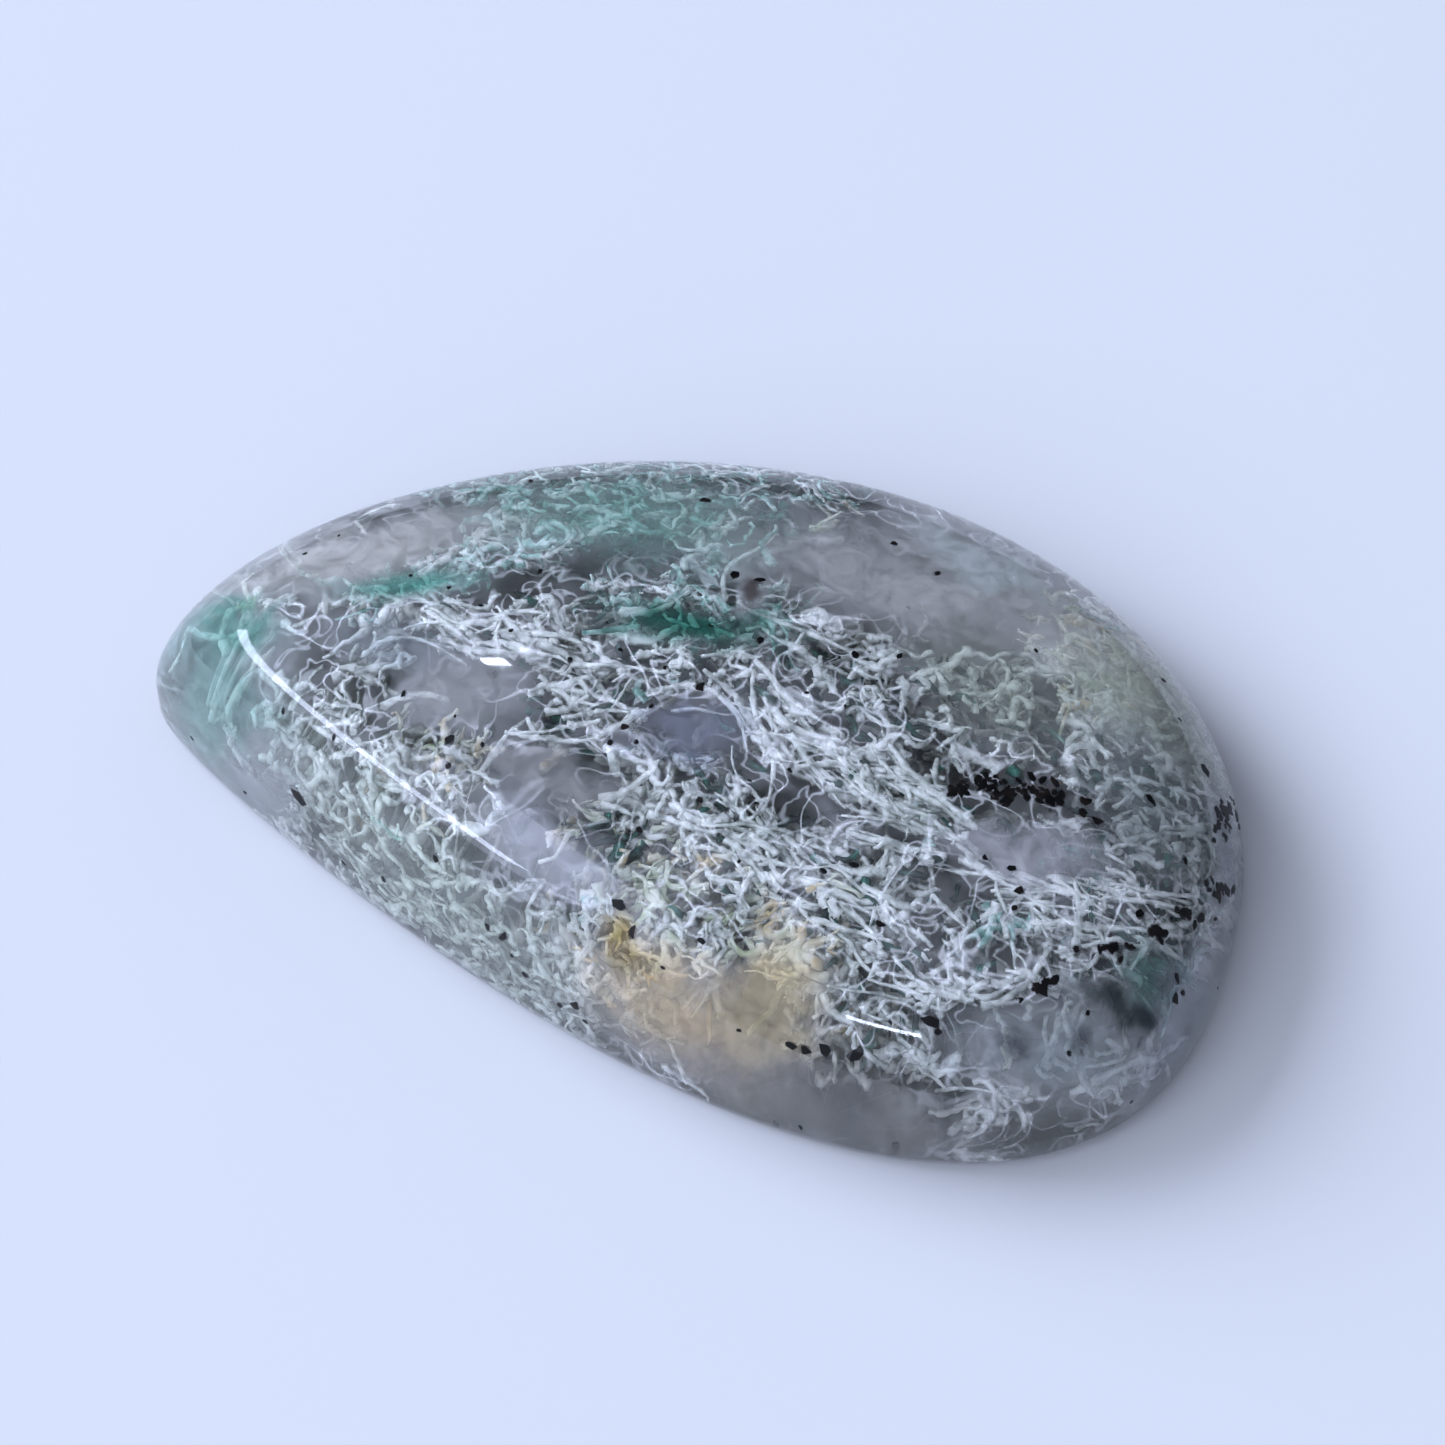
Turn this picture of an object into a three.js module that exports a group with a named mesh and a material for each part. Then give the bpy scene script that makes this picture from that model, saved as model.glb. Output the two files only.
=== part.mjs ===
// Moss agate cabochon: one polished piece of clouded chalcedony, cut as a free-form pear.
// It has a flat base with a small bevel, a low upright side, a rounded shoulder and a
// gently domed top. Millimetres, +Z up, lying on its base, with the blunt tip towards -X.
import * as THREE from "three";
import { mergeVertices } from "three/addons/utils/BufferGeometryUtils.js";

// Driving dimensions, in millimetres
const LENGTH = 30;
const HEIGHT = 6.2;
const NEAR_HALF_WIDTH = 9.0; // straighter long side, towards -Y
const FAR_HALF_WIDTH = 10.7; // fuller long side, towards +Y
const SIDE_HEIGHT = 1.0; // upright side above the base, before the surface starts to turn in
const SHOULDER_HEIGHT = 4.0; // height the dome would have at the edge if the shoulder were sharp
const BEVEL = 0.45; // height of the small bevel around the base
const CROWN_FROM_TIP = 11.8;
const CROWN_TO_FAR_SIDE = 0.9;

// Form of the outline: how fast each side opens from the tip and closes at the round end
const NEAR_TIP_POWER = 1.1;
const NEAR_END_POWER = 0.37;
const FAR_TIP_POWER = 0.82;
const FAR_END_POWER = 0.54;
const TIP_BLUNTNESS = 0.15; // at the outline
const CROWN_BLUNTNESS = 0.8; // added towards the crown, so that no ridge runs up from the tip

// Form of the dome and the bevel
const SHOULDER_TIGHTNESS = 10.5;
const BASE_SHARE = 0.965; // radius of the flat base as a share of the outline
const BEVEL_BULGE_SHARE = 0.99; // radius at a third of the bevel's height

// Number of flats around the stone and from the side to the crown
const AROUND = 112;
const DOME_STEPS = 18;

// Half width of one side at a place from 0 at the tip to 1 at the round end
function halfWidth(place, widest, tipPower, endPower, bluntness) {
  const form = (u) =>
    Math.sqrt(u) * (bluntness + (1 - bluntness) * u) ** (tipPower - 0.5) * (1 - u) ** endPower;
  return (widest * form(place)) / form(tipPower / (tipPower + endPower));
}

// Point of the outline in a direction given as an angle, 180 degrees being the tip
function outlinePoint(angle, bluntness) {
  const place = (1 + Math.cos(angle)) / 2;
  const half =
    Math.sin(angle) > 0
      ? halfWidth(place, FAR_HALF_WIDTH, FAR_TIP_POWER, FAR_END_POWER, bluntness)
      : -halfWidth(place, NEAR_HALF_WIDTH, NEAR_TIP_POWER, NEAR_END_POWER, bluntness);
  return new THREE.Vector2(LENGTH * place, half);
}

// Height of the polished top at a share of the way from the crown to the outline
function domeHeight(share) {
  const dome = SHOULDER_HEIGHT - SIDE_HEIGHT + (HEIGHT - SHOULDER_HEIGHT) * (1 - share ** 2);
  return SIDE_HEIGHT + dome * Math.sqrt(1 - share ** SHOULDER_TIGHTNESS);
}

// Section of the stone, its radius as a share of the outline: base, bevel, side and dome
function section() {
  const points = [
    new THREE.Vector2(0, 0),
    new THREE.Vector2(BASE_SHARE, 0),
    new THREE.Vector2(BEVEL_BULGE_SHARE, BEVEL / 3),
    new THREE.Vector2(1, BEVEL),
    new THREE.Vector2(1, SIDE_HEIGHT),
  ];
  for (let step = 1; step < DOME_STEPS; step++) {
    const share = Math.cos((Math.PI / 2) * (step / DOME_STEPS));
    points.push(new THREE.Vector2(share, domeHeight(share)));
  }
  points.push(new THREE.Vector2(0, HEIGHT));
  return points;
}

// The round form is turned from the section, then drawn out to the pear outline
function cabochon() {
  const form = new THREE.LatheGeometry(section(), AROUND);
  form.rotateX(Math.PI / 2);
  const crown = new THREE.Vector2(CROWN_FROM_TIP, CROWN_TO_FAR_SIDE);
  const vertices = form.attributes.position;
  for (let i = 0; i < vertices.count; i++) {
    const x = vertices.getX(i);
    const y = vertices.getY(i);
    const share = Math.hypot(x, y);
    const isTop = vertices.getZ(i) > SIDE_HEIGHT;
    const bluntness = TIP_BLUNTNESS + (isTop ? CROWN_BLUNTNESS * (1 - share) : 0);
    const edge = outlinePoint(Math.atan2(y, x), bluntness);
    const place = crown.clone().lerp(edge, share);
    vertices.setXY(i, place.x, place.y);
  }
  form.deleteAttribute("normal");
  form.deleteAttribute("uv");
  const stone = mergeVertices(form, 1e-5);
  stone.computeBoundingBox();
  const middle = stone.boundingBox.getCenter(new THREE.Vector3());
  stone.translate(-middle.x, -middle.y, 0);
  stone.computeVertexNormals();
  return stone;
}

const agate = new THREE.MeshStandardMaterial({ color: 0x8b93a3, roughness: 0.08, metalness: 0 });
const mossAgate = new THREE.Mesh(cabochon(), agate);
mossAgate.name = "moss_agate";

const part = new THREE.Group();
part.add(mossAgate);

export default part;
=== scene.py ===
import math

import bmesh
import bpy
import numpy as np
from mathutils import Matrix, Vector
from mathutils.bvhtree import BVHTree


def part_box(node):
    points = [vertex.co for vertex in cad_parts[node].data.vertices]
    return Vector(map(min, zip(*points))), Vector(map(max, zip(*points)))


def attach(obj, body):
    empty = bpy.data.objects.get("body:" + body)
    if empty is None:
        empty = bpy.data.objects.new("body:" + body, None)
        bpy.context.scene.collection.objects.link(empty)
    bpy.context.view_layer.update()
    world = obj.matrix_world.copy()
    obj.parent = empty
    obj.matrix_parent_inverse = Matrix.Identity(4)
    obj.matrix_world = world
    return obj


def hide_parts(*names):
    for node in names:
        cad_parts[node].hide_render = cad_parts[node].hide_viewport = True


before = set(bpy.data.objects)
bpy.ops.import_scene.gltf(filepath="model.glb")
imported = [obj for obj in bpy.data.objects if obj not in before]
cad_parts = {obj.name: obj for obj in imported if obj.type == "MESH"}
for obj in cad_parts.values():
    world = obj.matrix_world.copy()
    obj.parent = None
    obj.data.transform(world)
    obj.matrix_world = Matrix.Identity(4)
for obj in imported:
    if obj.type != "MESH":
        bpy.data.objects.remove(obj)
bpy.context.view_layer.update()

# The polished stone: one piece of chalcedony, the fine quartz that moss agate is made of.
# It was sawn flat underneath, ground by hand to a free-form pear with a low side, a rounded
# shoulder and a gentle dome, and polished on a felt wheel. The flat base was left satin.
MM = 0.001
low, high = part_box("moss_agate")
stone_length = high.x - low.x
stone_height = high.z
NEAR_HALF_WIDTH = 9.0 * MM
FAR_HALF_WIDTH = 10.7 * MM
SIDE_HEIGHT = 1.0 * MM
SHOULDER_HEIGHT = 4.0 * MM
BEVEL = 0.45 * MM
CROWN = Vector((11.8 * MM, 0.9 * MM))
NEAR_FORM = (1.1, 0.37)  # how fast a side opens from the tip, and closes at the round end
FAR_FORM = (0.82, 0.54)
TIP_BLUNTNESS = 0.15
CROWN_BLUNTNESS = 0.8
SHOULDER_TIGHTNESS = 10.5
BASE_SHARE = 0.965
BEVEL_BULGE_SHARE = 0.99
AROUND = 560
DOME_STEPS = 76
MERGE_WITHIN = 1e-7


def half_width(place, widest, form, bluntness):
    """Half width of one side at a place from 0 at the tip to 1 at the round end."""
    tip_power, end_power = form

    def opening(u):
        return math.sqrt(u) * (bluntness + (1 - bluntness) * u) ** (tip_power - 0.5) * (1 - u) ** end_power

    return widest * opening(place) / opening(tip_power / (tip_power + end_power))


def outline_point(angle, bluntness=TIP_BLUNTNESS):
    """Point of the pear outline, measured from the tip, in a direction of the round form."""
    place = min(1, max(0, (1 + math.cos(angle)) / 2))
    if math.sin(angle) > 0:
        side = half_width(place, FAR_HALF_WIDTH, FAR_FORM, bluntness)
    else:
        side = -half_width(place, NEAR_HALF_WIDTH, NEAR_FORM, bluntness)
    return Vector((stone_length * place, side))


def dome_height(share):
    """Height of the top at a share of the way from the crown to the outline."""
    dome = SHOULDER_HEIGHT - SIDE_HEIGHT + (stone_height - SHOULDER_HEIGHT) * (1 - share ** 2)
    return SIDE_HEIGHT + dome * math.sqrt(max(0, 1 - share ** SHOULDER_TIGHTNESS))


def add_object(name, data):
    """An object at the origin for a mesh, a camera or a light."""
    thing = bpy.data.objects.new(name, data)
    bpy.context.collection.objects.link(thing)
    return thing


section = [(0, 0), (BASE_SHARE, 0), (BEVEL_BULGE_SHARE, BEVEL / 3), (1, BEVEL), (1, SIDE_HEIGHT)]
for step in range(1, DOME_STEPS):
    share = math.cos(math.pi / 2 * step / DOME_STEPS)
    section.append((share, dome_height(share)))
section.append((0, stone_height))

form = bmesh.new()
profile = [form.verts.new((share, 0, z)) for share, z in section]
spine = [form.edges.new(pair) for pair in zip(profile, profile[1:])]
bmesh.ops.spin(
    form,
    geom=profile + spine,
    cent=(0, 0, 0),
    axis=(0, 0, 1),
    angle=2 * math.pi,
    steps=AROUND,
    use_merge=True,
)
bmesh.ops.remove_doubles(form, verts=form.verts, dist=MERGE_WITHIN)
for vert in form.verts:
    share = math.hypot(vert.co.x, vert.co.y)
    bluntness = TIP_BLUNTNESS + (CROWN_BLUNTNESS * (1 - share) if vert.co.z > SIDE_HEIGHT else 0)
    edge = outline_point(math.atan2(vert.co.y, vert.co.x), bluntness)
    vert.co.xy = CROWN.lerp(edge, share)
middle_y = (min(v.co.y for v in form.verts) + max(v.co.y for v in form.verts)) / 2
bmesh.ops.translate(form, verts=form.verts, vec=(-stone_length / 2, -middle_y, 0))
bmesh.ops.recalc_face_normals(form, faces=form.faces)
stone_mesh = bpy.data.meshes.new("polished_stone")
form.to_mesh(stone_mesh)
inside_finder = BVHTree.FromBMesh(form)
form.free()
stone_mesh.polygons.foreach_set("use_smooth", [True] * len(stone_mesh.polygons))
stone = add_object("polished_stone", stone_mesh)

# The camera looks down on the long side that lies nearer, from about a hand's width away,
# with the tip to the left. It stands here because colours and moss are placed where they show.
PHOTO_SIZE = 1445
VIEW_ELEVATION = math.radians(52.0)
VIEW_AZIMUTH = math.radians(15.6)
VIEW_DISTANCE = 116.2 * MM
VIEW_TARGET = Vector((0.0, 2.72 * MM, 0))
PIXELS_PER_MM = 36.47
SENSOR = 36.0
back = Vector(
    (
        math.sin(VIEW_AZIMUTH) * math.cos(VIEW_ELEVATION),
        -math.cos(VIEW_AZIMUTH) * math.cos(VIEW_ELEVATION),
        math.sin(VIEW_ELEVATION),
    )
)
camera = add_object("camera", bpy.data.cameras.new("camera"))
camera.data.sensor_width = SENSOR
camera.data.lens = SENSOR * PIXELS_PER_MM * VIEW_DISTANCE / MM / PHOTO_SIZE
camera.data.clip_start = 1 * MM
camera.rotation_mode = "QUATERNION"
camera.rotation_quaternion = (-back).to_track_quat("-Z", "Y")
camera.location = VIEW_TARGET + back * VIEW_DISTANCE
bpy.context.scene.camera = camera
camera_turn = np.array(camera.rotation_quaternion.to_matrix())
camera_place = np.array(camera.location)
FOCAL_PIXELS = PIXELS_PER_MM / MM * VIEW_DISTANCE
QUARTZ_INDEX = 1.54
SIGHT_ROUNDS = 2
GRAZING = 0.05


def seen_at(points):
    """Pixels of the photograph's frame where points in the open air show."""
    local = (points - camera_place) @ camera_turn
    return PHOTO_SIZE / 2 + np.stack([local[:, 0], -local[:, 1]], 1) * FOCAL_PIXELS / -local[:, 2:]


def bend(directions, normals):
    """Directions in the quartz of light that comes in through the polished surface."""
    straight = -np.sum(directions * normals, axis=-1, keepdims=True)
    into = np.sqrt(1 - (1 - straight ** 2) / QUARTZ_INDEX ** 2)
    return directions / QUARTZ_INDEX + (straight / QUARTZ_INDEX - into) * normals


def under_pixel(x, y, depth):
    """Place in the stone that shows at a pixel, so deep along the line of sight, and the normal above it."""
    ray = camera_turn @ np.array([x - PHOTO_SIZE / 2, PHOTO_SIZE / 2 - y, -FOCAL_PIXELS])
    ray /= np.linalg.norm(ray)
    place, normal, _, _ = inside_finder.ray_cast(Vector(camera_place), Vector(ray))
    if place is None:
        return None
    return np.array(place) + bend(ray, np.array(normal)) * depth, np.array(normal)


def shows_at(points):
    """Pixels where points in the stone show, seen through its polished surface."""
    sight = camera_place - points
    sight /= np.linalg.norm(sight, axis=1, keepdims=True)
    normals = np.tile([0.0, 0.0, 1.0], (len(points), 1))
    exits = points.copy()
    for _ in range(SIGHT_ROUNDS):
        outward = -bend(-sight, normals)
        for i, point in enumerate(points):
            place, normal, _, _ = inside_finder.ray_cast(Vector(point), Vector(outward[i]))
            if place is not None and normal.dot(Vector(sight[i])) > GRAZING:
                exits[i], normals[i] = place, normal
    return seen_at(exits)


def linear(hex_colour):
    """An sRGB colour such as "8b93a3" as linear red, green, blue and alpha."""
    parts = [int(hex_colour[i : i + 2], 16) / 255 for i in (0, 2, 4)]
    return [c / 12.92 if c <= 0.04045 else ((c + 0.055) / 1.055) ** 2.4 for c in parts] + [1]


def add_node(material, kind, settings=(), inputs=(), links=()):
    """Adds a node to a material, with its settings, and its inputs, by name or number, set or linked."""
    node = material.node_tree.nodes.new(kind)
    for name, value in dict(settings).items():
        setattr(node, name, value)
    for name, value in dict(inputs).items():
        node.inputs[name].default_value = value
    for name, source in dict(links).items():
        material.node_tree.links.new(source, node.inputs[name])
    return node


# Chalcedony, felt-polished: a grey quartz that light goes into and softens within a few
# millimetres, under a surface as glossy as glass, but for the satin base. Clouds hang in it,
# blue green at the tip and the far side, honey on the near side, and milky in the windows
# between the moss. The haze is the part of the surface that scatters light back.
# Clouds are given by where they show: x, y, half axes and tilt, then colour and milkiness.
# Most rows are clouds in the stone. The three dark ones at the right rim are painted shade, and the pale one
# on the near shoulder is partly painted reflection.
CLOUDS_AND_PAINTED_LIGHT = (
    (215, 700, 80, 120, 0, "8dada5", 0.21),
    (245, 622, 56, 22, 10, "6f9a8e", 0.24),
    (640, 515, 190, 60, 8, "9cb5ac", 0.15),
    (405, 580, 80, 16, -3, "619487", 0.24),
    (690, 620, 90, 22, 4, "4f8c7c", 0.10),
    (1120, 680, 110, 60, 40, "a5aa9c", 0.36),
    (1160, 800, 80, 60, 60, "a9afac", 0.12),
    (690, 1022, 120, 54, 26, "c8b494", 0.29),
    (765, 995, 50, 55, 0, "c8b898", 0.21),
    (620, 940, 18, 34, -12, "c9b080", 0.10),
    (1155, 985, 40, 30, 40, "8fada4", 0.14),
    (350, 548, 160, 34, -13, "c4c2bc", 0.25),
    (462, 690, 75, 34, -12, "bfbfbd", 0.17),
    (695, 722, 55, 30, 5, "b6bac9", 0.12),
    (545, 768, 80, 26, 12, "bab8b6", 0.16),
    # Partly painted reflection: a pale lavender milkiness where the panel's reflection lies on the near
    # shoulder, over milky stone.
    (550, 855, 75, 38, 38, "d2d2d8", 0.16),
    (905, 580, 185, 55, 17, "c0beba", 0.20),
    (1030, 852, 80, 26, 10, "c4c3c4", 0.24),
    (845, 1105, 130, 44, 12, "b6b3b2", 0.08),
    (1060, 1055, 110, 44, 10, "a4a9aa", 0.28),
    (1190, 1020, 40, 110, 22, "b4b7be", 0.19),
    (262, 780, 45, 42, 0, "c0c0c4", 0.18),
    (430, 895, 215, 62, 36, "ced6cc", 0.09),
    (1190, 735, 75, 24, 58, "9aa095", 0.30),
    (400, 640, 60, 26, 15, "b4babd", 0.13),
    # Painted shade: a dark veil along the right rim, darkest at two spots, where the rim shows dark.
    (1232, 850, 60, 15, 88, "63686f", 0.40),
    (1228, 814, 17, 15, 80, "18191b", 0.80),
    (1222, 891, 17, 13, 70, "26292b", 0.70),
    (1110, 1000, 50, 20, 20, "4e5352", 0.34),
    (1148, 1016, 18, 14, 40, "3a3f41", 0.36),
    (1012, 1042, 17, 20, 0, "6a6d70", 0.30),
    (1080, 1038, 11, 17, 0, "6a6d70", 0.28),
    (1000, 690, 110, 50, 30, "b6bbb0", 0.09),
    (746, 584, 15, 24, 12, "514c4a", 0.36),
    (990, 557, 95, 20, 28, "b8bebb", 0.28),
)
SMALL_CLOUD = 20  # pixels of half width, under which a cloud holds its place
CLOUD_UNDER = 0.5 * MM
CLOUD_DEPTH = 4 * MM
WISP_SIZE = 2.6 * MM
DRIFTS = (2.6 * MM, 0.7 * MM)
CURLS = ((1.7 * MM, 0.022, 0.22), (0.95 * MM, 0.03, 0.16))  # size, width and milkiness
SATIN_BELOW = 0.02 * MM
GLOSSY_ABOVE = 0.06 * MM
NOISE_FROM = 0.35  # where most of a noise's values start
NOISE_SPAN = 0.3


def add_shades(material, source, colours):
    """Colours that follow a noise from its low values to its high ones."""
    shades = add_node(material, "ShaderNodeValToRGB", links={"Fac": source})
    ramp = shades.color_ramp
    while len(ramp.elements) < len(colours):
        ramp.elements.new(0.5)
    for i, colour in enumerate(colours):
        ramp.elements[i].position = NOISE_FROM + NOISE_SPAN * i / (len(colours) - 1)
        ramp.elements[i].color = linear(colour)
    return shades.outputs["Color"]


chalcedony = bpy.data.materials.new("chalcedony, polished")
chalcedony.use_nodes = True
chalcedony.node_tree.nodes.clear()
stone_place = add_node(chalcedony, "ShaderNodeTexCoord").outputs["Object"]
wisps = add_node(
    chalcedony,
    "ShaderNodeTexNoise",
    inputs={"Scale": 1 / WISP_SIZE, "Detail": 4, "Roughness": 0.6, "Distortion": 0.8},
    links={"Vector": stone_place},
)
swayed = []
for drift in DRIFTS:
    sway = add_node(
        chalcedony,
        "ShaderNodeVectorMath",
        settings={"operation": "MULTIPLY_ADD"},
        inputs={1: [drift] * 3},
        links={0: wisps.outputs["Color"], 2: stone_place},
    )
    centred = add_node(
        chalcedony,
        "ShaderNodeVectorMath",
        settings={"operation": "SUBTRACT"},
        inputs={1: [drift / 2] * 3},
        links={0: sway.outputs[0]},
    )
    swayed.append(centred.outputs[0])
body_colour_and_painted_light = add_shades(chalcedony, wisps.outputs["Fac"], ["c6c9c6", "e9e9ea"])
haze = add_node(
    chalcedony,
    "ShaderNodeMapRange",
    inputs={"From Min": 0.35, "From Max": 0.7, "To Min": 0.0, "To Max": 0.07},
    links={"Value": wisps.outputs["Fac"]},
).outputs["Result"]
for size, width, strength in CURLS:
    curls = add_node(
        chalcedony,
        "ShaderNodeTexNoise",
        inputs={"Scale": 1 / size, "Detail": 1.5, "Roughness": 0.5, "Distortion": 0.7},
        links={"Vector": stone_place},
    )
    from_middle = add_node(
        chalcedony,
        "ShaderNodeMath",
        settings={"operation": "SUBTRACT"},
        inputs={1: 0.5},
        links={0: curls.outputs["Fac"]},
    )
    crossing = add_node(
        chalcedony, "ShaderNodeMath", settings={"operation": "ABSOLUTE"}, links={0: from_middle.outputs[0]}
    )
    line = add_node(
        chalcedony,
        "ShaderNodeMapRange",
        settings={"interpolation_type": "SMOOTHSTEP"},
        inputs={"From Min": 0, "From Max": width, "To Min": strength, "To Max": 0},
        links={"Value": crossing.outputs[0]},
    )
    haze = add_node(
        chalcedony, "ShaderNodeMath", settings={"operation": "ADD"}, links={0: haze, 1: line.outputs[0]}
    ).outputs[0]
for x, y, half_long, half_short, tilt, colour, milkiness in CLOUDS_AND_PAINTED_LIGHT:
    middle, _ = under_pixel(x, y, CLOUD_UNDER)
    turn = math.radians(tilt)
    right, down = camera_turn[:, 0], -camera_turn[:, 1]
    long_way = right * math.cos(turn) + down * math.sin(turn)
    short_way = down * math.cos(turn) - right * math.sin(turn)
    axes = Matrix(np.stack([long_way, short_way, np.cross(long_way, short_way)], 1).tolist())
    local = add_node(
        chalcedony,
        "ShaderNodeMapping",
        settings={"vector_type": "TEXTURE"},
        inputs={
            "Location": middle.tolist(),
            "Rotation": axes.to_euler(),
            "Scale": (half_long / PIXELS_PER_MM * MM, half_short / PIXELS_PER_MM * MM, CLOUD_DEPTH),
        },
        links={"Vector": swayed[0] if half_short >= SMALL_CLOUD else swayed[1]},
    )
    away = add_node(
        chalcedony, "ShaderNodeVectorMath", settings={"operation": "LENGTH"}, links={0: local.outputs[0]}
    )
    fade = add_node(
        chalcedony,
        "ShaderNodeMapRange",
        settings={"interpolation_type": "SMOOTHSTEP"},
        inputs={"From Min": 1.45, "From Max": 0.25, "To Min": 0, "To Max": 1},
        links={"Value": away.outputs["Value"]},
    )
    tinted = add_node(
        chalcedony,
        "ShaderNodeMix",
        settings={"data_type": "RGBA"},
        inputs={7: linear(colour)},
        links={0: fade.outputs[0], 6: body_colour_and_painted_light},
    )
    body_colour_and_painted_light = tinted.outputs[2]
    thicker = add_node(
        chalcedony, "ShaderNodeMix", inputs={3: milkiness}, links={0: fade.outputs[0], 2: haze}
    )
    haze = thicker.outputs[0]
veil = add_node(
    chalcedony,
    "ShaderNodeTexNoise",
    inputs={"Scale": 1 / (1.0 * MM), "Detail": 5, "Roughness": 0.65, "Distortion": 1.2},
    links={"Vector": stone_place},
)
uneven = add_node(
    chalcedony,
    "ShaderNodeMapRange",
    inputs={"From Min": 0.3, "From Max": 0.7, "To Min": 0.6, "To Max": 1.4},
    links={"Value": veil.outputs["Fac"]},
)
haze = add_node(
    chalcedony, "ShaderNodeMath", settings={"operation": "MULTIPLY"}, links={0: haze, 1: uneven.outputs[0]}
).outputs[0]
clearness = add_node(
    chalcedony, "ShaderNodeMath", settings={"operation": "SUBTRACT"}, inputs={0: 1}, links={1: haze}
)
height = add_node(chalcedony, "ShaderNodeSeparateXYZ", links={"Vector": stone_place})
polish = add_node(
    chalcedony,
    "ShaderNodeMapRange",
    inputs={"From Min": SATIN_BELOW, "From Max": GLOSSY_ABOVE, "To Min": 0.3, "To Max": 0.04},
    links={"Value": height.outputs["Z"]},
)
gloss = add_node(
    chalcedony,
    "ShaderNodeBsdfPrincipled",
    inputs={"IOR": QUARTZ_INDEX},
    links={
        "Base Color": body_colour_and_painted_light,
        "Roughness": polish.outputs["Result"],
        "Transmission Weight": clearness.outputs[0],
    },
)
tint = add_node(
    chalcedony,
    "ShaderNodeVolumeAbsorption",
    inputs={"Color": linear("c6c3bc"), "Density": 120},
)
add_node(
    chalcedony,
    "ShaderNodeOutputMaterial",
    links={"Surface": gloss.outputs[0], "Volume": tint.outputs[0]},
)
stone_mesh.materials.append(chalcedony)
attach(stone, "root")
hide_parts("moss_agate")

# The pale moss: threads of clay minerals that grew in the stone while it was still a gel.
# They curl, branch and cross like roots, are about 0.2 mm thick, and lie at every depth.
# They leave windows of clear stone, here by where they show: x, y, half axes and tilt.
WINDOWS = (
    (350, 548, 135, 34, -13),
    (462, 690, 68, 32, -12),
    (695, 722, 50, 28, 5),
    (555, 768, 68, 24, 12),
    (555, 855, 55, 30, 38),
    (905, 580, 175, 50, 17),
    (1030, 852, 62, 22, 10),
    (845, 1105, 125, 40, 12),
    (1065, 1042, 115, 45, 8),
    (262, 770, 36, 36, 0),
    (680, 1050, 80, 22, 32),
    (960, 880, 34, 16, 20),
    (790, 790, 46, 16, 20),
    (1210, 1000, 28, 100, 20),
    (1090, 1125, 100, 24, -15),
    (330, 640, 40, 22, 0),
    (1110, 1000, 46, 20, 10),
    (1236, 950, 14, 60, 0),
    (1231, 850, 14, 62, -3),
    (1212, 985, 30, 60, 32),
    (1140, 1090, 80, 26, -50),
    (1010, 792, 64, 20, 6),
    (192, 715, 46, 85, 0),
    (625, 560, 62, 15, -10),
    (520, 586, 62, 13, -8),
    (742, 585, 16, 20, 0),
    (745, 1010, 66, 42, 15),
    (1080, 1097, 60, 22, -15),
    (300, 660, 24, 18, 0),
    (955, 535, 130, 26, 27),
)
TEAL_PATCHES = (
    (640, 530, 200, 72, 6),
    (700, 618, 90, 24, 4),
    (395, 580, 62, 13, -3),
    (190, 800, 40, 30, 50),
    (800, 510, 120, 26, 14),
    (1160, 975, 40, 25, 40),
    (1000, 915, 25, 14, 0),
)
HONEY_PATCHES = (
    (700, 900, 130, 62, 20),
    (628, 935, 45, 50, -10),
    (800, 960, 40, 30, 10),
    (1100, 660, 80, 40, 30),
    (450, 745, 40, 25, 0),
)
STREAK_PATCHES = (
    (800, 868, 95, 40, 36),
    (880, 790, 120, 28, 22),
    (478, 630, 90, 24, 22),
    (975, 850, 110, 30, 24),
    (1090, 905, 120, 34, 12),
    (775, 730, 50, 40, 55),
    (610, 795, 70, 14, 12),
    (655, 700, 70, 16, -12),
    (560, 700, 16, 50, 8),
    (990, 1005, 90, 12, 5),
    (1192, 742, 70, 12, 66),
)
NET_PATCHES = (
    (1160, 850, 75, 110, 25),
    (1075, 725, 130, 45, 32),
    (430, 872, 170, 40, 38),
)
GRAIN_TILT = 26.0  # degrees, the way that most threads run, as seen
GRAIN_SPREAD = 32
TRIED_PLACES = 230000
TRIES_FOR_ONE = 8
LEAST_FACING = 0.3  # keeps threads from stretching where the surface is seen at a slant
RISE = 0.2
RISE_KEPT = 0.7
WINDOW_BLUR = 0.2
WINDOW_CLEARNESS = 0.98
LOOK_EVERY = 3
COVER = 0.03 * MM
STRAY_CHANCE = 0.01
draw = np.random.default_rng(5)
inner_points = draw.uniform(np.array(low), np.array(high), (TRIED_PLACES, 3))


def depth_inside(points):
    """Depth under the nearest surface, negative outside, and that surface's outward normal."""
    depth, normals = np.empty(len(points)), np.empty((len(points), 3))
    for i, point in enumerate(points):
        place, normal, _, distance = inside_finder.find_nearest(Vector(point))
        depth[i] = distance if (place - Vector(point)).dot(normal) > 0 else -distance
        normals[i] = normal
    return depth, normals


inner_depth, inner_normals = depth_inside(inner_points)


def in_patches(pixels, patches, blur=0.5):
    """1 inside the patches, 0 outside them, with a soft edge."""
    nearest = np.full(len(pixels), 9.0)
    for x, y, half_long, half_short, tilt in patches:
        turn = math.radians(tilt)
        dx, dy = pixels[:, 0] - x, pixels[:, 1] - y
        along = (dx * math.cos(turn) + dy * math.sin(turn)) / half_long
        across = (dy * math.cos(turn) - dx * math.sin(turn)) / half_short
        nearest = np.minimum(nearest, np.hypot(along, across))
    return np.clip((1 + blur / 2 - nearest) / blur, 0, 1)


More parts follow.
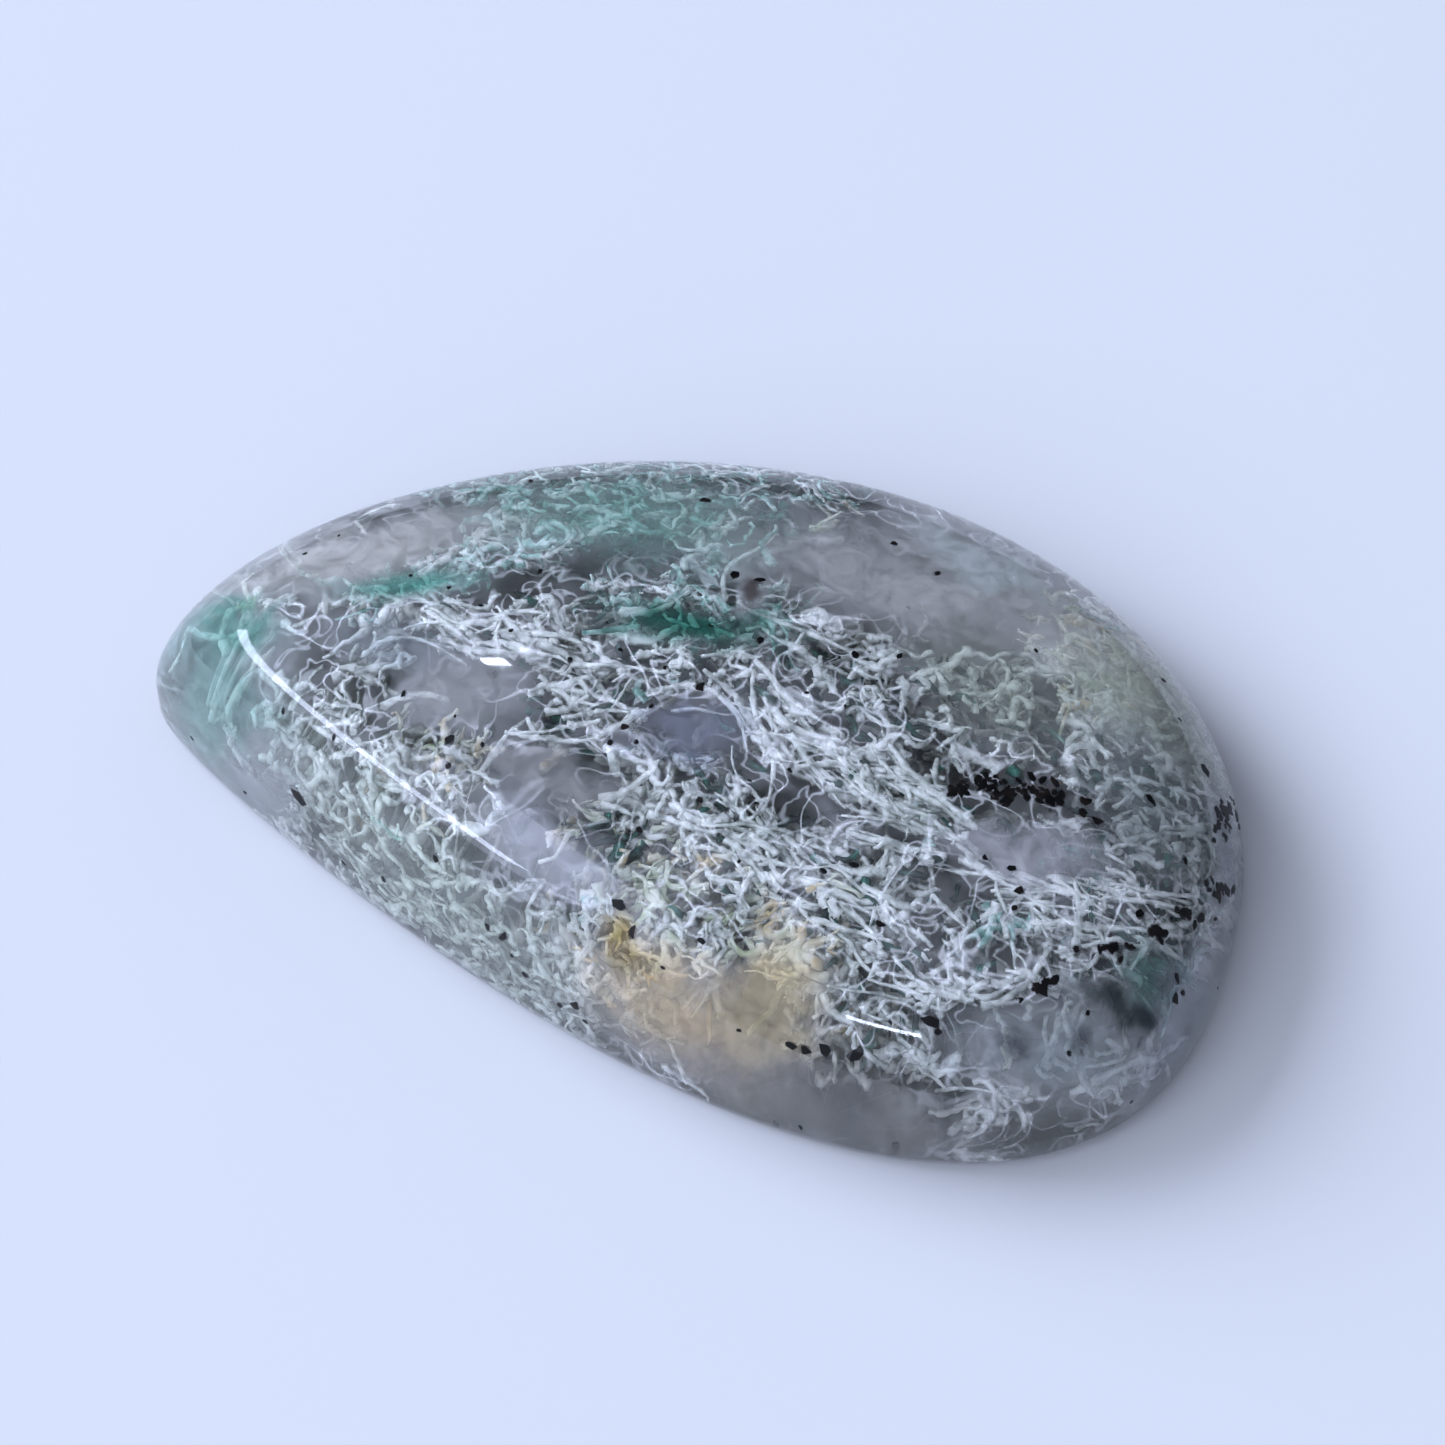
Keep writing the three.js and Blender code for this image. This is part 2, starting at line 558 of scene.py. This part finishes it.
def thin_out(draw, order, points, spacing, most):
    """The first of the points, in an order, that stay spacing apart."""
    cells, kept = {}, []
    for i in order:
        point = points[i]
        cell = tuple(int(c) for c in point // spacing)
        near = [
            other
            for x in (-1, 0, 1)
            for y in (-1, 0, 1)
            for z in (-1, 0, 1)
            for other in cells.get((cell[0] + x, cell[1] + y, cell[2] + z), ())
        ]
        if all(np.sum((point - other) ** 2) > spacing ** 2 for other in near):
            cells.setdefault(cell, []).append(point)
            kept.append(i)
            if len(kept) == most:
                break
    return kept


def scatter(seed, spacing, shallowest, deepest, wanted, most):
    """Places anywhere in the stone, kept by the chance that wanted gives the pixel they show at."""
    draw = np.random.default_rng(seed)
    chosen = np.flatnonzero((inner_depth > shallowest) & (inner_depth < deepest))
    chosen = draw.permutation(chosen)[: most * TRIES_FOR_ONE]
    chance = wanted(shows_at(inner_points[chosen]))
    chosen = chosen[draw.random(len(chosen)) < chance]
    kept = thin_out(draw, chosen, inner_points, spacing, most)
    tilts = GRAIN_TILT + draw.normal(0, GRAIN_SPREAD, len(kept)) + 180 * draw.integers(0, 2, len(kept))
    return inner_points[kept], inner_normals[kept], tilts


def scatter_under(seed, patches, crowding, shallowest, deepest, spread):
    """Places under patches of the seen surface, so many to a square millimetre, along their tilt."""
    draw = np.random.default_rng(seed)
    points, normals, tilts = [], [], []
    for x, y, half_long, half_short, tilt in patches:
        turn = math.radians(tilt)
        area = math.pi * half_long * half_short / PIXELS_PER_MM ** 2
        for _ in range(round(crowding * area)):
            away, around = math.sqrt(draw.random()), draw.uniform(0, 2 * math.pi)
            along, across = half_long * away * math.cos(around), half_short * away * math.sin(around)
            place = under_pixel(
                x + along * math.cos(turn) - across * math.sin(turn),
                y + along * math.sin(turn) + across * math.cos(turn),
                draw.uniform(shallowest, deepest),
            )
            if place is not None:
                points.append(place[0])
                normals.append(place[1])
                tilts.append(tilt + draw.normal(0, spread) + 180 * draw.integers(0, 2))
    return np.array(points), np.array(normals), np.array(tilts)


def grow_threads(seed, starts, normals, tilts, steps, length, curl, wobble):
    """Threads that set out along tilts, as seen, and curl along the surface above them."""
    draw = np.random.default_rng(seed)
    count = len(starts)
    sight = camera_place - starts
    sight /= np.linalg.norm(sight, axis=1, keepdims=True)
    facing = np.sum(sight * normals, 1)
    facing = np.where(np.abs(facing) < LEAST_FACING, LEAST_FACING, facing)[:, None]

    def along_surface(direction):
        lean = np.sum(direction * normals, 1, keepdims=True) / facing
        tangent = direction - lean * sight
        return tangent / np.linalg.norm(tangent, axis=1, keepdims=True)

    right, down = camera_turn[:, 0], -camera_turn[:, 1]
    turn = np.radians(tilts)[:, None]
    along = along_surface(right * np.cos(turn) + down * np.sin(turn))
    beside = np.cross(normals, along)
    heading = np.zeros(count)
    stride = length * draw.uniform(0.5, 1.5, count) / (steps - 1)
    turning = draw.normal(0, curl, count) * stride
    rise = draw.normal(0, RISE, count)
    paths = np.empty((count, steps, 3))
    paths[:, 0] = starts
    for step in range(1, steps):
        heading += turning + draw.normal(0, wobble, count)
        rise = RISE_KEPT * rise + draw.normal(0, RISE, count)
        move = (
            np.cos(heading)[:, None] * along
            + np.sin(heading)[:, None] * beside
            + rise[:, None] * normals
        )
        paths[:, step] = paths[:, step - 1] + move * stride[:, None]
    return paths


def clear_of_windows(seed, paths):
    """The threads that don't grow into a window, but for a few."""
    draw = np.random.default_rng(seed)
    inside = [
        in_patches(shows_at(paths[:, step]), WINDOWS, WINDOW_BLUR)
        for step in range(0, paths.shape[1], LOOK_EVERY)
    ]
    return paths[draw.random(len(paths)) > WINDOW_CLEARNESS * np.max(inside, 0)]


def twigs_on(seed, paths, count, steps, length):
    """Short hooked side threads that leave the given ones at a wide angle."""
    draw = np.random.default_rng(seed)
    which, where = draw.integers(0, len(paths), count), draw.integers(1, paths.shape[1] - 2, count)
    starts = paths[which, where]
    ahead = paths[which, where + 1] - starts
    ahead /= np.linalg.norm(ahead, axis=1, keepdims=True)
    side = draw.normal(size=(count, 3))
    side -= np.sum(side * ahead, 1, keepdims=True) * ahead
    side /= np.linalg.norm(side, axis=1, keepdims=True)
    share = np.linspace(0, 1, steps)[None, :, None]
    long = (length * draw.uniform(0.4, 1.4, count))[:, None, None]
    hook = draw.normal(0, 0.45, (count, 1, 3))
    bend_back = 0.15 * draw.normal(size=(count, 1, 3)) * np.sin(2 * np.pi * share)
    return starts[:, None] + long * (share * (0.6 * ahead + side)[:, None] + share ** 2 * hook + bend_back)


def bundle(seed, paths, radius):
    """Knotty threads that thin out towards the free end, moved in till the surface covers them."""
    draw = np.random.default_rng(seed)
    count, steps = paths.shape[:2]
    radii = radius * draw.uniform(0.55, 1.45, (count, 1)) * np.linspace(1.15, 0.5, steps)[None]
    radii = radii * draw.uniform(0.65, 1.35, (count, steps))
    room = (radii + COVER).ravel()
    flat = paths.reshape(-1, 3)
    for _ in range(2):
        depth, normals = depth_inside(flat)
        flat = flat - normals * np.clip(room - depth, 0, None)[:, None]
    depth, _ = depth_inside(flat)
    covered = (depth > room - COVER / 2).reshape(count, steps).all(1)
    return flat.reshape(paths.shape)[covered], radii[covered]


def add_threads(name, bundles, sides, material):
    """One mesh of closed round threads, from bundles of (paths, radii)."""
    points, faces, start = [], [], 0
    for paths, radii in bundles:
        count, steps = paths.shape[:2]
        ahead = np.gradient(paths, axis=1)
        ahead /= np.linalg.norm(ahead, axis=2, keepdims=True) + 1e-12
        across = np.cross(ahead[:, 0], [0.31, 0.74, 0.59])
        rings = np.empty((count, steps, sides, 3))
        turns = 2 * np.pi * np.arange(sides) / sides
        for step in range(steps):
            across -= np.sum(across * ahead[:, step], 1, keepdims=True) * ahead[:, step]
            across /= np.linalg.norm(across, axis=1, keepdims=True) + 1e-12
            beside = np.cross(ahead[:, step], across)
            spokes = (
                across[:, None] * np.cos(turns)[None, :, None]
                + beside[:, None] * np.sin(turns)[None, :, None]
            )
            rings[:, step] = paths[:, step, None] + spokes * radii[:, step, None, None]
        numbers = start + np.arange(count * steps * sides).reshape(count, steps, sides)
        after = np.roll(numbers, -1, axis=2)
        walls = np.stack([numbers[:, :-1], after[:, :-1], after[:, 1:], numbers[:, 1:]], -1)
        faces += walls.reshape(-1, 4).tolist()
        faces += numbers[:, 0, ::-1].tolist() + numbers[:, -1].tolist()
        points.append(rings.reshape(-1, 3))
        start += count * steps * sides
    mesh = bpy.data.meshes.new(name)
    mesh.from_pydata(np.concatenate(points).tolist(), [], faces)
    mesh.polygons.foreach_set("use_smooth", [True] * len(mesh.polygons))
    mesh.materials.append(material)
    piece = add_object(name, mesh)
    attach(piece, "root")


def moss_material(name, colours, grain):
    """Matt fibrous mineral in a few shades that change from place to place."""
    material = bpy.data.materials.new(name)
    material.use_nodes = True
    material.node_tree.nodes.clear()
    place = add_node(material, "ShaderNodeTexCoord")
    cloud = add_node(
        material,
        "ShaderNodeTexNoise",
        inputs={"Scale": 1 / grain, "Detail": 3},
        links={"Vector": place.outputs["Object"]},
    )
    surface = add_node(
        material,
        "ShaderNodeBsdfPrincipled",
        inputs={"Roughness": 0.6},
        links={"Base Color": add_shades(material, cloud.outputs["Fac"], colours)},
    )
    add_node(material, "ShaderNodeOutputMaterial", links={"Surface": surface.outputs[0]})
    return material


def left_by(pixels, *takers):
    """What is left of 1 at pixels when each set of patches has taken its share."""
    left = np.ones(len(pixels))
    for patches, share in takers:
        left = left * (1 - share * in_patches(pixels, patches))
    return left


def pale_chance(pixels):
    """How likely pale threads are at pixels: none in the windows, few in the coloured patches."""
    coloured = ((TEAL_PATCHES, 0.6), (HONEY_PATCHES, 0.5), (STREAK_PATCHES, 0.75), (NET_PATCHES, 0.5))
    return left_by(pixels, (WINDOWS, 1), *coloured) + STRAY_CHANCE


# Clay mineral, fibrous and unpolished: chalky threads, from grey to near white.
clay = moss_material("clay mineral threads, pale", ["979c97", "d9dcd6", "f6f8f4"], 0.35 * MM)
for name, seed, spacing, shallowest, deepest, most, length, radius in (
    ("pale_moss_upper", 21, 0.36 * MM, 0.15 * MM, 0.4 * MM, 760, 1.3 * MM, 0.115 * MM),
    ("pale_moss_middle", 22, 0.6 * MM, 0.4 * MM, 1.0 * MM, 360, 1.4 * MM, 0.115 * MM),
    ("pale_moss_lower", 23, 0.9 * MM, 1.0 * MM, 3.0 * MM, 160, 1.8 * MM, 0.11 * MM),
):
    starts = scatter(seed, spacing, shallowest, deepest, pale_chance, most)
    threads = grow_threads(seed, *starts, steps=13, length=length, curl=700, wobble=0.5)
    threads = clear_of_windows(seed, threads)
    twigs = twigs_on(seed, threads, count=3 * len(threads) // 2, steps=6, length=0.5 * MM)
    twigs = clear_of_windows(seed, twigs)
    bundles = [bundle(seed, threads, radius), bundle(seed, twigs, 0.85 * radius)]
    add_threads(name, bundles, 5, clay)

# The streaks: bundles of longer, straighter and finer threads of the same clay that lie side
# by side, each bundle in its own direction.
starts = scatter_under(
    25, STREAK_PATCHES, crowding=7, shallowest=0.12 * MM, deepest=0.6 * MM, spread=6
)
threads = grow_threads(25, *starts, steps=14, length=1.7 * MM, curl=200, wobble=0.13)
threads = clear_of_windows(25, threads)
twigs = twigs_on(25, threads, count=len(threads), steps=5, length=0.3 * MM)
bundles = [bundle(25, threads, 0.10 * MM), bundle(25, twigs, 0.08 * MM)]
add_threads("pale_moss_streaks", bundles, 5, clay)


# The net: the same clay where its threads have grown together into cells, mostly at the
# round end.
STRAY_KNOTS = 0.03
WAVINESS = 0.13


def net_chance(pixels):
    """How likely a knot of the net is at pixels."""
    return in_patches(pixels, NET_PATCHES) + STRAY_KNOTS


def net_threads(seed, knots, reach, links, steps):
    """Wavy threads that join each knot to its nearest few within reach."""
    pairs = set()
    for i, knot in enumerate(knots):
        distance = np.sum((knots - knot) ** 2, 1)
        for j in np.argsort(distance)[1 : links + 1]:
            if distance[j] < reach ** 2:
                pairs.add((min(i, int(j)), max(i, int(j))))
    pairs = np.array(sorted(pairs))
    draw = np.random.default_rng(seed)
    share = np.linspace(0, 1, steps)[None, :, None]
    span = (knots[pairs[:, 1]] - knots[pairs[:, 0]])[:, None]
    long = np.linalg.norm(span, axis=2, keepdims=True)
    paths = knots[pairs[:, 0]][:, None] + span * share
    for wave in (1, 2, 3):
        paths += draw.normal(size=(len(pairs), 1, 3)) * long * WAVINESS / wave * np.sin(np.pi * wave * share)
    return paths


knots, _, _ = scatter(
    27, spacing=0.72 * MM, shallowest=0.14 * MM, deepest=0.9 * MM, wanted=net_chance, most=620
)
threads = clear_of_windows(27, net_threads(27, knots, reach=1.7 * MM, links=3, steps=8))
add_threads("pale_moss_net", [bundle(27, threads, 0.10 * MM)], 5, clay)

# The strands: single threads of the clay that can be told apart in the photograph, around the
# windows and in the cells at the round end, each by its depth in millimetres and the pixels it
# runs through.
STRANDS = (
    (0.3, ((1068, 976), (1098, 972), (1130, 986), (1153, 1010), (1162, 1026))),
    (0.55, ((1008, 1046), (1012, 1058), (1003, 1070))),
    (0.55, ((1060, 1014), (1056, 1036), (1047, 1052), (1042, 1066))),
    (0.55, ((1126, 1016), (1124, 1036), (1129, 1056), (1110, 1064), (1074, 1068))),
    (0.55, ((1074, 1092), (1100, 1078), (1135, 1062), (1156, 1054), (1168, 1066), (1170, 1088))),
    (0.2, ((936, 1091), (964, 1087), (995, 1092), (1026, 1103))),
    (0.55, ((952, 1132), (962, 1122), (980, 1118), (988, 1130), (966, 1138))),
    (0.55, ((1076, 1130), (1088, 1124), (1102, 1124))),
    (0.2, ((1212, 792), (1214, 812), (1209, 826), (1184, 834), (1158, 832))),
    (0.2, ((1184, 832), (1205, 836), (1214, 848), (1211, 872), (1202, 892), (1196, 906))),
    (0.2, ((1197, 906), (1176, 900), (1155, 891), (1124, 885))),
    (0.2, ((1114, 808), (1129, 797), (1141, 778), (1142, 764))),
    (0.2, ((1129, 798), (1147, 800), (1160, 808), (1164, 822), (1158, 834))),
    (0.2, ((363, 656), (380, 641), (404, 636), (430, 642), (468, 665))),
    (0.2, ((384, 706), (400, 697), (424, 693), (450, 700))),
    (0.2, ((314, 727), (338, 741), (362, 746), (390, 735), (412, 727))),
    (0.2, ((476, 778), (492, 758), (506, 734), (526, 720))),
    (0.2, ((640, 700), (662, 688), (700, 684), (728, 700), (744, 728), (746, 752))),
    (0.2, ((725, 600), (722, 575), (735, 560), (760, 548), (778, 534))),
    (0.2, ((735, 605), (780, 622), (826, 640), (862, 658))),
)
LOOP_PATCHES = ((1060, 1044, 95, 26, 8), (1120, 1100, 60, 20, -20))
STRAND_SINK = 0.5 * MM
CORNER_ROUNDS = 2


def strand_path(pixels, depth):
    """Places along a line of pixels, with its corners rounded, that sink towards its ends."""
    line = np.array(pixels, float)
    for _ in range(CORNER_ROUNDS):
        cut = np.stack([0.75 * line[:-1] + 0.25 * line[1:], 0.25 * line[:-1] + 0.75 * line[1:]], 1)
        line = np.concatenate([line[:1], cut.reshape(-1, 2), line[-1:]])
    sink = STRAND_SINK * np.linspace(-1, 1, len(line)) ** 2
    places = [under_pixel(x, y, depth + more) for (x, y), more in zip(line, sink)]
    return np.array([place[0] for place in places if place is not None])


strands = []
for i, (depth, pixels) in enumerate(STRANDS):
    strands.append(bundle(60 + i, strand_path(pixels, depth * MM)[None], 0.085 * MM))
starts = scatter_under(
    61, LOOP_PATCHES, crowding=2.6, shallowest=0.5 * MM, deepest=1.1 * MM, spread=50
)
loops = grow_threads(61, *starts, steps=14, length=1.3 * MM, curl=1700, wobble=0.3)
strands.append(bundle(61, loops, 0.09 * MM))
add_threads("pale_moss_strands", strands, 6, clay)

# The green moss: celadonite, a blue green clay, in finer and denser threads, at the tip and
# along the far side, and nearly black green where it is thickest. Its dark threads are also
# painted shade in the gaps of the pale moss.
STRAY_COLOURED = 0.004
SHADED_GAP_PATCHES = ((820, 800, 300, 170, 25), (1120, 860, 110, 130, 30), (640, 680, 200, 90, 10))
# Two spots on the right rim, where it shows dark, that dark threads and crusts darken over the painted shade
# there.
RIM_PATCHES = ((1226, 815, 14, 16, 0), (1220, 890, 18, 12, -10))
DARK_GREEN_PATCHES = (
    (700, 618, 75, 15, 4),
    (770, 512, 40, 20, 20),
    (735, 490, 60, 13, 5),
    (560, 500, 60, 20, 0),
    (640, 560, 60, 13, 10),
    (395, 580, 50, 9, -3),
    (312, 830, 12, 9, 0),
    (636, 848, 14, 12, 0),
    (1150, 985, 30, 14, 40),
    (1010, 912, 20, 10, 0),
    (1130, 930, 60, 22, 20),
    (1090, 870, 60, 16, 25),
    (1110, 990, 42, 14, 20),
    (1218, 805, 10, 26, -8),
    (1228, 870, 8, 30, 0),
)


def shaded_gap_chance(pixels):
    """How likely the dark threads of painted shade are at pixels: in the gaps all through the moss, but not
    in the windows.
    """
    return left_by(pixels, (WINDOWS, 1), (HONEY_PATCHES, 0.6)) * in_patches(pixels, SHADED_GAP_PATCHES)


def coloured_chance(pixels, patches):
    """How likely coloured threads are at pixels: in their patches, few in the windows."""
    return in_patches(pixels, patches) * left_by(pixels, (WINDOWS, 0.8)) + STRAY_COLOURED


def teal_chance(pixels):
    """How likely green threads are at pixels."""
    return coloured_chance(pixels, TEAL_PATCHES)


# Celadonite, fibrous and unpolished: a soft blue green that pales to near white in places.
celadonite = moss_material("celadonite threads, blue green", ["568f81", "a3c5bb", "eef6f2"], 0.4 * MM)
starts = scatter(
    31, spacing=0.32 * MM, shallowest=0.14 * MM, deepest=0.8 * MM, wanted=teal_chance, most=700
)
threads = grow_threads(31, *starts, steps=11, length=1.2 * MM, curl=900, wobble=0.5)
threads = clear_of_windows(31, threads)
twigs = twigs_on(31, threads, count=800, steps=5, length=0.45 * MM)
bundles = [bundle(31, threads, 0.11 * MM), bundle(31, twigs, 0.08 * MM)]
add_threads("green_moss", bundles, 5, celadonite)

# The same clay where it is thickest: black green, with hardly any light coming back. The same
# dark threads are painted shade in the gaps under the pale moss, and darken two spots on the right rim.
dark_celadonite_and_shade = moss_material("celadonite threads, dark green, and painted shade", ["02100c", "082e24", "1f6655"], 0.6 * MM)
starts = scatter_under(
    32, DARK_GREEN_PATCHES, crowding=9, shallowest=0.3 * MM, deepest=1.1 * MM, spread=50
)
threads = grow_threads(32, *starts, steps=8, length=0.7 * MM, curl=1800, wobble=0.45)
# Painted shade: dark threads under the pale moss, so that the gaps between its threads look dark.
starts = scatter(
    34, spacing=0.45 * MM, shallowest=0.2 * MM, deepest=0.6 * MM, wanted=shaded_gap_chance, most=460
)
shaded_gaps = grow_threads(34, *starts, steps=6, length=0.7 * MM, curl=600, wobble=0.3)
# Dark threads that darken the two spots on the right rim.
starts = scatter_under(
    33, RIM_PATCHES, crowding=24, shallowest=0.12 * MM, deepest=0.35 * MM, spread=30
)
rim = grow_threads(33, *starts, steps=8, length=0.5 * MM, curl=1200, wobble=0.4)
bundles = [bundle(32, threads, 0.15 * MM), bundle(34, shaded_gaps, 0.10 * MM), bundle(33, rim, 0.12 * MM)]
add_threads("green_moss_dark_and_painted_shade", bundles, 5, dark_celadonite_and_shade)

# The iron-stained moss: the same threads where iron in the stone has rusted, from yellow
# green to ochre, on the near side.
def honey_chance(pixels):
    """How likely iron-stained threads are at pixels."""
    return coloured_chance(pixels, HONEY_PATCHES)


# Iron-stained clay, fibrous and unpolished: yellow green, cream and a warm ochre in turn.
rusted = moss_material("iron-stained threads, yellow green", ["adb898", "e8e9dd", "cdba92"], 0.9 * MM)
starts = scatter(
    41, spacing=0.32 * MM, shallowest=0.14 * MM, deepest=0.9 * MM, wanted=honey_chance, most=560
)
threads = grow_threads(41, *starts, steps=10, length=1.0 * MM, curl=1300, wobble=0.6)
twigs = twigs_on(41, threads, count=700, steps=5, length=0.45 * MM)
bundles = [bundle(41, threads, 0.10 * MM), bundle(41, twigs, 0.08 * MM)]
add_threads("iron_stained_moss", bundles, 5, rusted)

# The black specks: grains and short crusts of manganese oxide that grew on the threads.
# A grain is given by where it shows and how long it is, in pixels. A crust is given by where it
# shows, its half axes and tilt, how many lumps it has and how coarse they are.
SPECKS = (
    (297, 795, 22), (450, 740, 12), (448, 766, 10), (436, 858, 12), (487, 925, 12), (503, 937, 14),
    (575, 1005, 18), (620, 905, 18), (632, 932, 14), (790, 1045, 12), (806, 1050, 14), (826, 1052, 20),
    (856, 1055, 18), (930, 1020, 18), (938, 1032, 12), (1040, 990, 16), (1050, 982, 12), (1020, 1000, 9),
    (404, 693, 9), (636, 742, 9), (610, 742, 8), (700, 687, 16), (652, 706, 8), (570, 660, 8),
    (1098, 822, 16), (1082, 812, 10), (1150, 800, 12), (1185, 860, 10), (1120, 960, 12), (1175, 1000, 12),
    (1160, 940, 10), (1184, 915, 12), (1010, 868, 9), (1020, 890, 12), (985, 858, 8), (1075, 950, 10),
    (790, 770, 8), (700, 800, 8), (525, 975, 10), (640, 830, 8), (880, 925, 9), (1205, 770, 14),
    (1216, 828, 12), (1195, 925, 10), (1177, 979, 12), (1140, 915, 12),
    (760, 580, 14), (735, 575, 12), (705, 500, 12), (560, 1005, 8), (760, 640, 10), (855, 655, 12),
)
CRUSTS = (
    (958, 790, 12, 5, -5, 18, 8),
    (985, 784, 16, 7, -8, 20, 8),
    (1006, 795, 22, 11, 4, 26, 8),
    (1032, 792, 20, 12, 8, 28, 8),
    (1054, 799, 12, 8, 15, 18, 8),
    (1190, 914, 20, 3, 25, 10, 8),
    (1158, 932, 14, 5, 22, 12, 8),
    (1112, 948, 22, 3, -3, 10, 8),
    (1045, 984, 16, 3, -22, 12, 8),
    (1086, 801, 9, 2, 25, 5, 8),
    # The last two crusts darken the two dark spots on the right rim.
    (1226, 813, 16, 10, 82, 38, 8),
    (1221, 890, 14, 9, -12, 26, 8),
)
FLUSH = 0.012 * MM  # how far a grain may stand out of the polish
GRAIN_HALF = 0.64  # half size of a grain's lump, as a share of the length given for it
GRAIN_UNDER = 0.03 * MM
STRAY_GRAINS = 90
STRAY_DEEPEST = 0.4 * MM
draw = np.random.default_rng(51)
grains = bmesh.new()
spots = [(x, y, size * GRAIN_HALF) for x, y, size in SPECKS]
for x, y, half_long, half_short, tilt, lumps, coarse in CRUSTS:
    turn = math.radians(tilt)
    for _ in range(lumps):
        along, across = draw.normal(0, half_long / 2), draw.normal(0, half_short / 2)
        spot_x = x + along * math.cos(turn) - across * math.sin(turn)
        spot_y = y + along * math.sin(turn) + across * math.cos(turn)
        spots.append((spot_x, spot_y, coarse * draw.uniform(0.5, 1)))
found = [(under_pixel(x, y, GRAIN_UNDER), half) for x, y, half in spots]
places = [place[0] for place, half in found if place is not None]
halves = [half for place, half in found if place is not None]
stray = draw.choice(np.flatnonzero((inner_depth > 0) & (inner_depth < STRAY_DEEPEST)), STRAY_GRAINS)
places += list(inner_points[stray] + inner_normals[stray] * inner_depth[stray, None])
halves += list(draw.uniform(2.5, 6, len(stray)))
for place, half in zip(places, halves):
    lump = bmesh.ops.create_icosphere(grains, subdivisions=1, radius=1)["verts"]
    turn = Matrix(np.linalg.qr(draw.normal(size=(3, 3)))[0].tolist())
    size = half / PIXELS_PER_MM * MM
    stretch = Vector(
        (
            size * draw.uniform(0.8, 1.1),
            size * draw.uniform(0.5, 0.85),
            size * draw.uniform(0.4, 0.7),
        )
    )
    for vert in lump:
        vert.co = Vector(place) + turn @ (vert.co * stretch * draw.uniform(0.75, 1.25))
        near, outward, _, distance = inside_finder.find_nearest(vert.co)
        depth = distance if (near - vert.co).dot(outward) > 0 else -distance
        if depth < -FLUSH:
            vert.co -= outward * (-FLUSH - depth)
specks_mesh = bpy.data.meshes.new("black_specks")
grains.to_mesh(specks_mesh)
grains.free()
specks = add_object("black_specks", specks_mesh)

# Manganese oxide, crusty: sooty black, brownish here and there.
oxide = moss_material("manganese oxide, crusty", ["010101", "050505", "120b08"], 0.3 * MM)
specks_mesh.materials.append(oxide)
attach(specks, "root")

# The stage: a plain pale sheet under plain soft light, a little blue, as from a window.
FLOOR_SIZE = 2.0
FLOOR_GAP = 0.02 * MM
DAYLIGHT = "d8e3ff"
SKY_STRENGTH = 0.86
ground = bmesh.new()
bmesh.ops.create_grid(ground, x_segments=1, y_segments=1, size=FLOOR_SIZE / 2)
bmesh.ops.translate(ground, verts=ground.verts, vec=(0, 0, -FLOOR_GAP))
floor_mesh = bpy.data.meshes.new("floor")
ground.to_mesh(floor_mesh)
ground.free()
floor = add_object("floor", floor_mesh)

# Paper, matt: an even pale ground that shows nothing but the stone's shadow.
paper = bpy.data.materials.new("paper, matt")
paper.use_nodes = True
paper_surface = paper.node_tree.nodes["Principled BSDF"]
paper_surface.inputs["Base Color"].default_value = linear("949494")
paper_surface.inputs["Roughness"].default_value = 0.9
floor_mesh.materials.append(paper)

sky = bpy.data.worlds.new("room")
sky.use_nodes = True
background = sky.node_tree.nodes["Background"]
background.inputs["Color"].default_value = linear(DAYLIGHT)
background.inputs["Strength"].default_value = SKY_STRENGTH
sky.cycles_visibility.glossy = False
bpy.context.scene.world = sky
PANEL_DISTANCE = 1.2


def add_panel(name, azimuth, elevation, wide, high, radiance):
    """A soft light panel that faces the stone: its place, width and height in degrees."""
    lamp = add_object(name, bpy.data.lights.new(name, "AREA"))
    lamp.data.shape = "RECTANGLE"
    lamp.data.size = 2 * PANEL_DISTANCE * math.tan(math.radians(wide / 2))
    lamp.data.size_y = 2 * PANEL_DISTANCE * math.tan(math.radians(high / 2))
    lamp.data.energy = radiance * math.pi * lamp.data.size * lamp.data.size_y
    lamp.data.color = linear(DAYLIGHT)[:3]
    around, up = math.radians(azimuth), math.radians(elevation)
    towards = Vector((math.cos(around) * math.cos(up), math.sin(around) * math.cos(up), math.sin(up)))
    lamp.location = towards * PANEL_DISTANCE
    lamp.rotation_mode = "QUATERNION"
    lamp.rotation_quaternion = (-towards).to_track_quat("-Z", "Y")
    return lamp


# The main light and the fill light give the brightness and the shadow, and the polish doesn't
# mirror them. It mirrors the panel and the three narrow lights after it.
main_light = add_panel("main_light", azimuth=170, elevation=32, wide=40, high=30, radiance=24.6)
main_light.visible_glossy = False
add_panel("panel", azimuth=-143, elevation=44, wide=28, high=42, radiance=2.7)
fill_light = add_panel("fill_light", azimuth=-110, elevation=38, wide=50, high=40, radiance=5.2)
fill_light.visible_glossy = False
for name, azimuth, elevation, wide, high, radiance in (
    ("strip", -167, 35.5, 58, 4.4, 13),
    ("glint", 127, 58, 2.6, 1.2, 45),
    ("line", -80, 47, 12.5, 2.5, 26),
):
    add_panel(name, azimuth, elevation, wide, high, radiance).visible_transmission = False

bpy.context.scene.view_settings.view_transform = "Standard"
